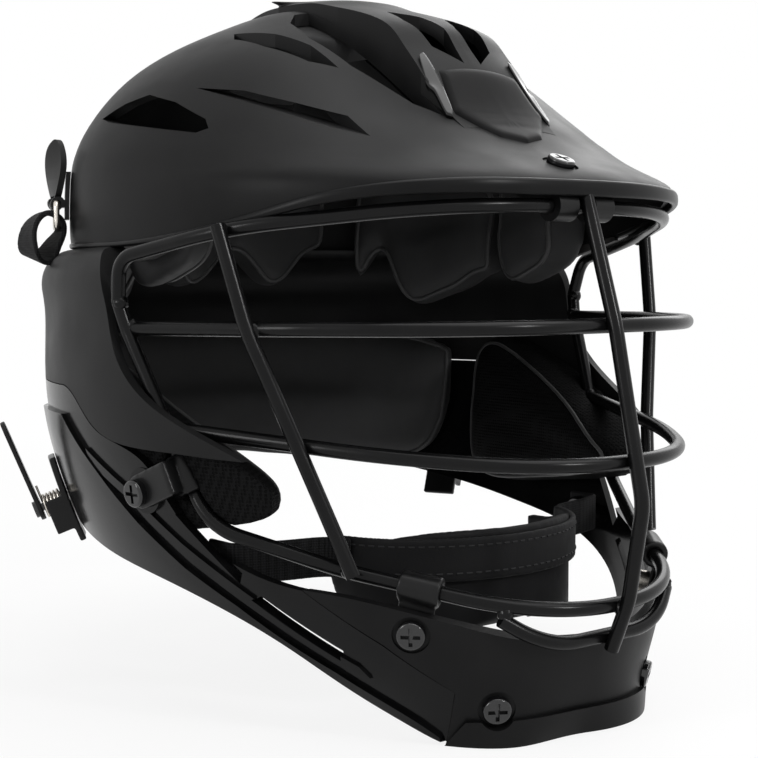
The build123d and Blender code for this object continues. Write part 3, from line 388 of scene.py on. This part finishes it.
CAD_FINISH = [
    (SHELL, ["crown_shell"]),
    (LOWER, ["lower_shell"]),
    (GUARD, both("jaw_guard")),
    (CHIN, ["chin_guard"]),
    (GLOSS, both("vent_liner")),
    (TRIM, both("temple_trim")),
    (WIRE, ["brow_wire", "lower_wire", "mouth_wire", "eye_wire", "chin_wire", "centre_bar"]
     + both("side_wire") + both("side_bar")),
    (CLIP, ["brow_clip"] + both("side_clip") + both("front_clip") + both("buckle_housing")
     + both("release_lever") + both("ring_anchor")),
    (SCREW, ["visor_screw", "side_screws", "chin_screws"]
     + both("strap_snap") + both("buckle_pin")),
    (STEEL, ["shell_nuts"] + both("buckle_spring") + both("adjuster_ring")),
    (PAD, ["brow_pad", "top_pad", "back_pad", "neck_pad"] + both("side_pad") + both("rear_pad")),
    (MESH, both("jaw_pad")),
    (CUP, ["chin_cup", "chin_cup_band"]),
    (WEB, both("chin_strap") + both("webbing_loop")),
    (TAB, both("pull_tab")),
]


def finish_cad():
    """Every CAD node gets its material."""
    for mat, names in CAD_FINISH:
        for name in names:
            obj = NODES[name]
            if not obj.material_slots:
                obj.data.materials.append(mat)
            for place in obj.material_slots:
                place.material = mat


# Pieces made from the CAD solids' own forms

HEAD_MIDDLE = Vector((0, 0.01, 0))
PIPING_FACING, PIPING_STEP, PIPING_LIFT = 0.5, 1.6, 0.15


def as_mesh(name, bm, level=True):
    """The mesh of a bmesh, its faces turned outwards."""
    if level:
        bmesh.ops.recalc_face_normals(bm, faces=bm.faces)
    mesh = bpy.data.meshes.new(name)
    bm.to_mesh(mesh)
    bm.free()
    return mesh


def piece(name, mesh, mat, body, slot_name, *nodes):
    """A mesh shown as a piece of the object."""
    obj = bpy.data.objects.new(name, mesh)
    bpy.context.scene.collection.objects.link(obj)
    mesh.materials.clear()
    mesh.materials.append(mat)
    for polygon in mesh.polygons:
        polygon.use_smooth = True
    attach(obj, body)
    if nodes:
        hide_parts(*nodes)
    return obj


def shaped(name, *steps):
    """The mesh of a CAD node after modifiers, each given as a kind and its settings."""
    holder = bpy.data.objects.new(name, NODES[name].data.copy())
    bpy.context.scene.collection.objects.link(holder)
    for kind, settings in steps:
        modifier = holder.modifiers.new(kind, kind)
        for key, value in settings.items():
            setattr(modifier, key, value)
    deps = bpy.context.evaluated_depsgraph_get()
    made = bpy.data.meshes.new_from_object(holder.evaluated_get(deps))
    bpy.data.objects.remove(holder)
    return made


def rounded(name, voxel_mm, rounds):
    """A node's form remade as one closed skin with soft edges."""
    return shaped(name, ("REMESH", {"mode": "VOXEL", "voxel_size": voxel_mm * MM}),
                  ("SMOOTH", {"iterations": rounds, "factor": 0.5}))


def tubes(name, runs, radius_mm, closed=False):
    """Round beads of that radius along runs of points."""
    curve = bpy.data.curves.new(name, "CURVE")
    curve.dimensions = "3D"
    curve.bevel_depth = radius_mm * MM
    curve.bevel_resolution = 2
    curve.use_fill_caps = True
    for run in runs:
        line = curve.splines.new("POLY")
        line.points.add(len(run) - 1)
        for point, place in zip(line.points, run):
            point.co = (*place, 1)
        line.use_cyclic_u = closed
    holder = bpy.data.objects.new(name, curve)
    bpy.context.scene.collection.objects.link(holder)
    mesh = bpy.data.meshes.new_from_object(holder)
    bpy.data.objects.remove(holder)
    return mesh


def contours(mesh, value, level, keep=None):
    """Runs of places, with their normals, where value passes level on a mesh, the longest first."""
    bm = bmesh.new()
    bm.from_mesh(mesh)
    bmesh.ops.triangulate(bm, faces=bm.faces)
    above = {vert.index: value(vert.co, vert.normal) - level for vert in bm.verts}
    places, links = {}, {}
    for face in bm.faces:
        if keep and not keep(face.calc_center_median(), face.normal):
            continue
        cut = [edge for edge in face.edges
               if above[edge.verts[0].index] * above[edge.verts[1].index] < 0]
        if len(cut) == 2:
            links.setdefault(cut[0].index, []).append(cut[1].index)
            links.setdefault(cut[1].index, []).append(cut[0].index)
            for edge in cut:
                a, b = edge.verts
                part = above[a.index] / (above[a.index] - above[b.index])
                normal = a.normal.lerp(b.normal, part).normalized()
                places[edge.index] = (a.co.lerp(b.co, part), normal)
    bm.free()
    runs, left = [], set(links)
    while left:
        ends = [key for key in left if len(links[key]) == 1]
        here = min(ends) if ends else min(left)
        run = []
        while here is not None:
            left.discard(here)
            run.append(places[here])
            here = next((key for key in links[here] if key in left), None)
        runs.append(run)
    return sorted(runs, key=run_length, reverse=True)


def run_length(run):
    return sum((a[0] - b[0]).length for a, b in zip(run, run[1:]))


def evened(run, step_mm, lift_mm=0.0, closed=True, rounds=6):
    """The places of a run at even steps, smoothed and lifted off the surface."""
    places = [place + normal * lift_mm * MM for place, normal in run]
    for _ in range(rounds):
        before = places[-1:] + places[:-1]
        after = places[1:] + places[:1]
        if not closed:
            before[0], after[-1] = places[0], places[-1]
        places = [(a + 2 * b + c) / 4 for a, b, c in zip(before, places, after)]
    if closed:
        places.append(places[0])
    kept, gone = [places[0]], 0.0
    for a, b in zip(places, places[1:]):
        gone += (b - a).length
        if gone >= step_mm * MM:
            kept.append(b)
            gone = 0.0
    return kept


def inward(place, normal):
    """How much a surface faces the line down the middle of the head."""
    return normal.dot((HEAD_MIDDLE + Vector((0, 0, place.z)) - place).normalized())


def make_pad(name, body, mat, slot_name, voxel_mm, rounds, radius_mm=1.1):
    """A soft pad, with a bead around the edge of its inner face unless the bead's radius is 0."""
    mesh = rounded(name, voxel_mm, rounds)
    piece(name + "_soft", mesh, mat, body, slot_name, name)
    if radius_mm:
        line = evened(contours(mesh, inward, PIPING_FACING)[0], PIPING_STEP, PIPING_LIFT)
        # The bead's lighter tone is a painted highlight.
        piece(name + "_piping", tubes(name, [line], radius_mm, True), PIPING, body, "pad_skin")


def make_pads():
    """The soft pads, by voxel size in mm and rounds of smoothing, then the bead's radius."""
    for name in ["brow_pad", "back_pad"] + both("side_pad") + both("rear_pad"):
        make_pad(name, "helmet", PAD, "pad_skin", 1.6, 10)
    make_pad("top_pad", "helmet", PAD, "pad_skin", 1.8, 10, 0)
    make_pad("neck_pad", "neck_pad", NECK, "pad_skin", 1.8, 12)
    for name in both("jaw_pad"):
        make_pad(name, "helmet", MESH, "mesh_skin", 1.4, 6, 0.8)


# Chin cup with its stitched band and straps

STITCH_HEIGHTS = (-0.0783, -0.0877)
CUP_CENTRE_Y = -0.05
LEAST_OUTWARD = 0.3


def stitches(name, runs, body, slot_name, step_mm=3.4, long_mm=2.1, radius_mm=0.32):
    """Short threads along runs of places."""
    threads = []
    for run in runs:
        line = evened(run, step_mm, 0.05, False)
        for a, b in zip(line, line[1:]):
            way = (b - a).normalized() * long_mm * MM / 2
            mid = (a + b) / 2
            threads.append([mid - way, mid, mid + way])
    piece(name, tubes(name, threads, radius_mm), THREAD, body, slot_name)


def faces_out(centre, normal):
    away = Vector((centre.x, centre.y - CUP_CENTRE_Y, 0)).normalized()
    return normal.dot(away) > LEAST_OUTWARD


def make_cup():
    cup = rounded("chin_cup", 1.2, 6)
    band = rounded("chin_cup_band", 0.8, 4)
    for name, mesh in (("chin_cup", cup), ("chin_cup_band", band)):
        soft = piece(name + "_soft", mesh, CUP, "chin_cup", "cup_fabric", name)
    rows = [contours(band, lambda place, normal: place.z, height, faces_out)[0]
            for height in STITCH_HEIGHTS]
    stitches("cup_threads", rows, "chin_cup", "cup_fabric")
    for name in both("chin_strap"):
        piece(name + "_soft", rounded(name, 0.5, 4), WEB, "chin_cup", "webbing", name)


# Clips, tabs and the welds of the cage

WELD_RADIUS = 2.75
WELD_WAVE, WELD_APART, WELD_UNEVEN = 900, 3.1, 0.14
TAB_TWIST, LOOP_TWIST = 38, 30
AXIS_ROUNDS = 60
TOUCH_GAP = 0.45
SAME_PLACE = 9


def make_clips():
    for name in both("side_clip") + both("front_clip"):
        piece(name + "_round", rounded(name, 0.4, 30), CLIP, "helmet", "clip_plastic", name)
    for name in both("buckle_housing"):
        piece(name + "_round", rounded(name, 0.4, 12), CLIP, "helmet", "clip_plastic", name)
    for name in both("release_lever"):
        piece(name + "_round", rounded(name, 0.35, 4), CLIP, name, "clip_plastic", name)


def touching(first, second):
    """The middle of the place where two nodes touch."""
    tree = BVHTree.FromObject(NODES[first], bpy.context.evaluated_depsgraph_get())
    near = []
    for vert in NODES[second].data.vertices:
        place, _, _, gap = tree.find_nearest(NODES[second].matrix_world @ vert.co)
        if gap is not None and gap < TOUCH_GAP * MM:
            near.append(place)
    groups = []
    for place in near:
        for group in groups:
            if (group[0] - place).length < SAME_PLACE * MM:
                group.append(place)
                break
        else:
            groups.append([place])
    return [sum(group, Vector()) / len(group) for group in groups]


def bead_mesh(places, radius_mm):
    """Small uneven lumps, one at each place."""
    bm = bmesh.new()
    for count, place in enumerate(places):
        lump = bmesh.ops.create_icosphere(bm, subdivisions=3, radius=radius_mm * MM)["verts"]
        for vert in lump:
            wave = Vector(vert.co * WELD_WAVE) + Vector((count * WELD_APART, 0, 0))
            vert.co = vert.co * (1 + WELD_UNEVEN * noise_at(wave)) + place
    return as_mesh("beads", bm, False)


def make_welds():
    """The weld beads between the wires that touch."""
    places = []
    across = ["brow_wire", "eye_wire", "mouth_wire", "lower_wire"]
    pairs = [("centre_bar", name) for name in across + ["chin_wire"]]
    for side in both("side_bar") + both("side_wire"):
        pairs += [(side, name) for name in across]
    pairs.append(("chin_wire", "lower_wire"))
    for first, second in pairs:
        places += touching(first, second)
    piece("weld_beads", bead_mesh(places, WELD_RADIUS), WIRE, "helmet", "cage_wire")


def turned(name, mesh, body, mat, slot_name, degrees, from_top=False):
    """A flat hanging piece turned about its long way, more towards its far end."""
    middle = sum((vert.co for vert in mesh.vertices), Vector()) / len(mesh.vertices)
    spread = Matrix(((0, 0, 0), (0, 0, 0), (0, 0, 0)))
    for vert in mesh.vertices:
        away = vert.co - middle
        for row in range(3):
            for column in range(3):
                spread[row][column] += away[row] * away[column]
    long_way = Vector((0, 0, 1))
    for _ in range(AXIS_ROUNDS):
        long_way = (spread @ long_way).normalized()
    lengths = [(vert.co - middle).dot(long_way) for vert in mesh.vertices]
    low, high = min(lengths), max(lengths)
    for vert, length in zip(mesh.vertices, lengths):
        part = (high - length if from_top else length - low) / (high - low)
        turn = Matrix.Rotation(math.radians(degrees * part), 3, long_way)
        vert.co = middle + turn @ (vert.co - middle)
    return piece(name + "_turned", mesh, mat, body, slot_name, name)


# The visor's lip, in mm
LIP_HALF_WIDE, LIP_HALF_HIGH = 1.4, 1.1
LIP_FRONT_MORE, LIP_FRONT_DROP = 1.7, 0.9
LIP_STEP, LIP_LIFT = 1.5, -0.5
LIP_FRONT_POWER, LIP_SQUARE_POWER = 1.5, 0.7


def rim_loops(name, least_angle=0.6):
    """The closed sharp edges of a node that have no branches, the widest first."""
    bm = bmesh.new()
    bm.from_mesh(NODES[name].data)
    bmesh.ops.remove_doubles(bm, verts=bm.verts, dist=1e-6)
    links = {}
    for edge in bm.edges:
        if len(edge.link_faces) == 2 and edge.calc_face_angle(0) > least_angle:
            for vert in edge.verts:
                links.setdefault(vert.index, []).append(edge.other_vert(vert).index)
    places = {vert.index: vert.co.copy() for vert in bm.verts}
    bm.free()
    loops, left = [], {key for key in links if len(links[key]) == 2}
    while left:
        here, loop = min(left), []
        while here is not None:
            left.discard(here)
            loop.append(places[here])
            here = next((key for key in links[here] if key in left), None)
        loops.append(loop)
    return sorted(loops, key=lambda loop: min(place.y for place in loop))


def squarish(value):
    """A sine or cosine that fills out a circle towards a square."""
    return math.copysign(abs(value) ** LIP_SQUARE_POWER, value)


def band_mesh(name, line, outward, half_wide, half_high, drop, corners=12):
    """A closed band along a loop, each measure in mm and given at each place of the loop."""
    bm = bmesh.new()
    rings = []
    for place, out, high, low in zip(line, outward, half_high, drop):
        ring = []
        for corner in range(corners):
            angle = 2 * math.pi * corner / corners
            side = squarish(math.cos(angle)) * half_wide
            rise = squarish(math.sin(angle)) * high - low
            ring.append(bm.verts.new(place + (out * side + Vector((0, 0, rise))) * MM))
        rings.append(ring)
    for one, two in zip(rings, rings[1:] + rings[:1]):
        for corner in range(corners):
            after = (corner + 1) % corners
            bm.faces.new((one[corner], one[after], two[after], two[corner]))
    return as_mesh(name, bm)


def level_way(way):
    return Vector((way.x, way.y, 0)).normalized()


def make_visor_lip():
    """The rolled lip along the crown's rim, tallest at the visor's front."""
    loop = rim_loops("crown_shell")[0]
    middle = sum(loop, Vector()) / len(loop)
    run = [(place, level_way(place - middle)) for place in loop]
    line = evened(run, LIP_STEP, LIP_LIFT, rounds=3)
    outward, high, drop = [], [], []
    for before, place, after in zip(line[-1:] + line[:-1], line, line[1:] + line[:1]):
        out = (after - before).cross(Vector((0, 0, 1))).normalized()
        away = level_way(place - middle)
        outward.append(out if out.dot(away) > 0 else -out)
        front = max(0.0, -away.y) ** LIP_FRONT_POWER
        high.append(LIP_HALF_HIGH + LIP_FRONT_MORE * front)
        drop.append(LIP_FRONT_DROP * front)
    mesh = band_mesh("visor_lip", line, outward, LIP_HALF_WIDE, high, drop)
    piece("visor_lip", mesh, LIP, "helmet", "shell_plastic")


# The raised plate in front of the ridge and the gloss strips beside it, in mm as seen from above.
# A strip has an inner and an outer line: the start, the end and the height over the crown.

NOSE = [(-18.0, -67.5), (18.0, -67.5), (21.5, -80.0), (10.0, -91.5), (0.0, -94.5),
        (-10.0, -91.5), (-21.5, -80.0)]
NOSE_LIFT, EDGE_SUNK, SLOPE_WIDTH, SLOPE_POWER = 1.3, 0.4, 1.6, 0.6
FIRST_RING = 0.02
STRIP_LINES = [((18.6, -60.0), (21.8, -83.0), 1.1), ((23.6, -61.0), (26.6, -81.0), 1.0)]
STRIP_DEPTH = 2.2
ARCH_START, ARCH_PART = 0.12, 0.76
OVER_CROWN, CROWN_TOP = 0.2, 0.08


def on_crown(tree, x, y, lift):
    """The place on the crown above a point in mm, lifted by some mm along the surface's normal."""
    above = Vector((x * MM, y * MM, OVER_CROWN))
    place, normal, _, _ = tree.ray_cast(above, Vector((0, 0, -1)))
    if place is None:
        place, normal, _, _ = tree.find_nearest(Vector((x * MM, y * MM, CROWN_TOP)))
    return place + normal * lift * MM


def inside_share(x, y, outline):
    """How far a point is inside an outline, in mm, or below zero outside."""
    least, inside = math.inf, False
    for (ax, ay), (bx, by) in zip(outline, outline[1:] + outline[:1]):
        wide, high = bx - ax, by - ay
        part = ((x - ax) * wide + (y - ay) * high) / (wide ** 2 + high ** 2)
        part = max(0.0, min(1.0, part))
        least = min(least, math.hypot(x - ax - part * wide, y - ay - part * high))
        if (ay > y) != (by > y) and x < wide * (y - ay) / high + ax:
            inside = not inside
    return least if inside else -least


def raised_patch(name, tree, outline, lift_mm, mat, slot_name, rounds):
    """A patch of that outline that stands proud of the crown, with a short slope at its edge."""
    rings, spokes = 14, 96
    middle = [sum(place[k] for place in outline) / len(outline) for k in (0, 1)]
    bm = bmesh.new()
    rows = []
    for ring in range(rings + 1):
        row = []
        for spoke in range(spokes):
            along = spoke / spokes * len(outline)
            a, b = outline[int(along)], outline[(int(along) + 1) % len(outline)]
            part = along - int(along)
            share = (ring + FIRST_RING) / rings
            x, y = (m + (p + (q - p) * part - m) * share for m, p, q in zip(middle, a, b))
            deep = inside_share(x, y, outline)
            slope = min(1.0, max(0.0, deep) / SLOPE_WIDTH) ** SLOPE_POWER
            lift = (lift_mm + EDGE_SUNK) * slope - EDGE_SUNK
            row.append(bm.verts.new(on_crown(tree, x, y, lift)))
        rows.append(row)
    for one, two in zip(rows, rows[1:]):
        for spoke in range(spokes):
            after = (spoke + 1) % spokes
            bm.faces.new((one[spoke], one[after], two[after], two[spoke]))
    bm.faces.new(rows[0])
    inner = [vert for row in rows[:-2] for vert in row]
    for _ in range(rounds):
        bmesh.ops.smooth_vert(bm, verts=inner, factor=0.5,
                              use_axis_x=True, use_axis_y=True, use_axis_z=True)
    piece(name, as_mesh(name, bm), mat, "helmet", slot_name)


def gloss_strip(name, tree, sign, steps=24, across=6):
    """A strip in the step between the ridge and the crown, spanned between two smoothed lines."""
    lines = []
    for start, end, lift in STRIP_LINES:
        run = []
        for count in range(steps + 1):
            x, y = (a + (b - a) * count / steps for a, b in zip(start, end))
            run.append((on_crown(tree, sign * x, y, lift), Vector()))
        lines.append(evened(run, 0.0, closed=False, rounds=16))
    bm = bmesh.new()
    rings = []
    for count, (a, b) in enumerate(zip(*lines)):
        wide = math.sin(math.pi * (ARCH_START + ARCH_PART * count / steps))
        middle = (a + b) / 2
        top = [middle + (a - middle).lerp(b - middle, k / across) * wide for k in range(across + 1)]
        under = [place - Vector((0, 0, STRIP_DEPTH * MM)) for place in reversed(top)]
        rings.append([bm.verts.new(place) for place in top + under])
    for one, two in zip(rings, rings[1:]):
        for k in range(len(one)):
            after = (k + 1) % len(one)
            bm.faces.new((one[k], one[after], two[after], two[k]))
    bm.faces.new(rings[0])
    bm.faces.new(rings[-1])
    piece(name, as_mesh(name, bm), GLOSS, "helmet", "gloss_plastic")


def make_nose():
    """The raised plate in front of the ridge and the gloss strips beside it."""
    tree = BVHTree.FromObject(NODES["crown_shell"], bpy.context.evaluated_depsgraph_get())
    raised_patch("ridge_nose", tree, NOSE, NOSE_LIFT, NOSE_PLATE_PAINTED_SHADE, "shell_plastic", 3)
    for side, sign in (("left", 1), ("right", -1)):
        gloss_strip("ridge_insert_" + side, tree, sign)


def make_straps():
    """The pull tabs and webbing loops, each with its twist."""
    for side, sign in (("right", 1), ("left", -1)):
        tab, loop, ring = f"pull_tab_{side}", f"webbing_loop_{side}", f"adjuster_{side}"
        turned(tab, shaped(tab), tab, TAB, "tab_rubber", TAB_TWIST * sign)
        turned(loop, rounded(loop, 0.5, 3), ring, WEB, "webbing", LOOP_TWIST * sign, True)


set_camera()
set_world()
set_floor()
set_lamps()
finish_cad()
make_pads()
make_cup()
make_clips()
make_welds()
make_visor_lip()
make_nose()
make_straps()
bpy.context.scene.view_settings.view_transform = "Standard"
